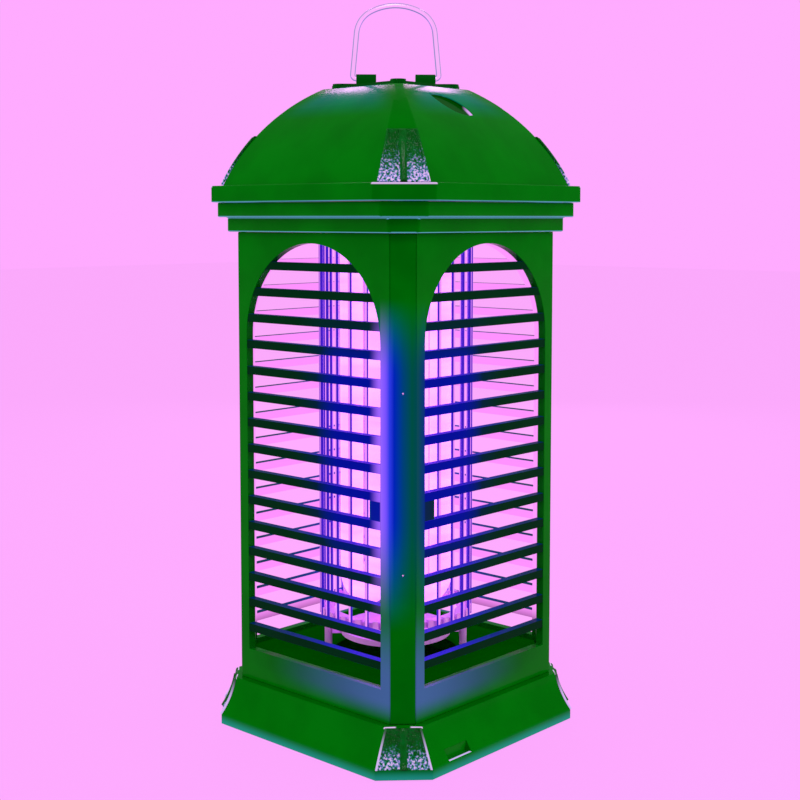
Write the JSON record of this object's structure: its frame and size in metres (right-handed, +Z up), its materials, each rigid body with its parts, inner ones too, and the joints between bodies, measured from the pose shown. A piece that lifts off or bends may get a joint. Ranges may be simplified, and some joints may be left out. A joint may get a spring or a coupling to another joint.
{
  "type": "electric bug zapper",
  "caption": "Square lantern-shaped electric insect killer with a domed top, slatted arched windows, a high-voltage wire cage round glowing tubes, a hanging bail and a catch tray.",
  "frame": {"origin": "centre of the footprint on the ground, under the feet", "axes": "+Z up; -Y is the front panel, +X the right panel; the tray and cord gland are at the rear, +Y"},
  "size_m": [0.1588, 0.1588, 0.3867],
  "materials": {
    "green_shell": "glossy moulded plastic",
    "dark_shell": "satin moulded plastic",
    "hammered_trim": "hammered glossy trim",
    "grille_green": "glossy slats",
    "cap_plastic": "glossy moulded plastic",
    "tray_plastic": "glossy moulded plastic",
    "foot_rubber": "matt",
    "gland_rubber": "matt",
    "screw_steel": "brushed",
    "bail_chrome": "polished",
    "white_insulator": "satin",
    "grid_steel": "drawn wire",
    "lamp_glass": "glowing ultraviolet tube",
    "board": "solder mask",
    "transformer": "varnished",
    "capacitor": "sleeved",
    "lead_insulation": "insulated lead"
  },
  "bodies": {
    "housing": {"base_skirt": "green_shell", "base_corner_trims": "hammered_trim", "bottom_plate": "dark_shell", "rubber_feet": "foot_rubber", "base_screws": "screw_steel", "floor_plate": "dark_shell", "front_panel": "green_shell", "right_panel": "green_shell", "rear_panel": "green_shell", "left_panel": "green_shell", "front_grille": "grille_green", "right_grille": "grille_green", "rear_grille": "grille_green", "left_grille": "grille_green", "corner_posts": "green_shell", "cornice_ring": "green_shell", "dome_cover": "green_shell", "dome_corner_trims": "hammered_trim", "top_cap": "cap_plastic", "cap_screw": "screw_steel", "head_plate": "dark_shell", "circuit_board": "board", "transformer": "transformer", "capacitors": "capacitor", "hv_leads": "lead_insulation", "lamp_holder": "white_insulator", "uv_lamp": "lamp_glass", "grid_top_ring": "white_insulator", "grid_bottom_ring": "white_insulator", "grid_hub": "white_insulator", "grid_posts": "white_insulator", "grid_wires_live": "grid_steel", "grid_wires_return": "grid_steel", "cord_gland": "gland_rubber"},
    "bail": {"bail_handle": "bail_chrome"},
    "tray": {"catch_tray": "tray_plastic"}
  },
  "joints": [
    {"name": "bail_pivot", "type": "hinge", "parent": "housing", "child": "bail", "pos_m": [0, 0, 0.3469], "axis": [0.7071, 0.7071, 0], "range_deg": [-88, 88]},
    {"name": "tray_slide", "type": "slide", "parent": "housing", "child": "tray", "axis": [0, 1, 0], "range_m": [0, 0.11]}
  ]
}
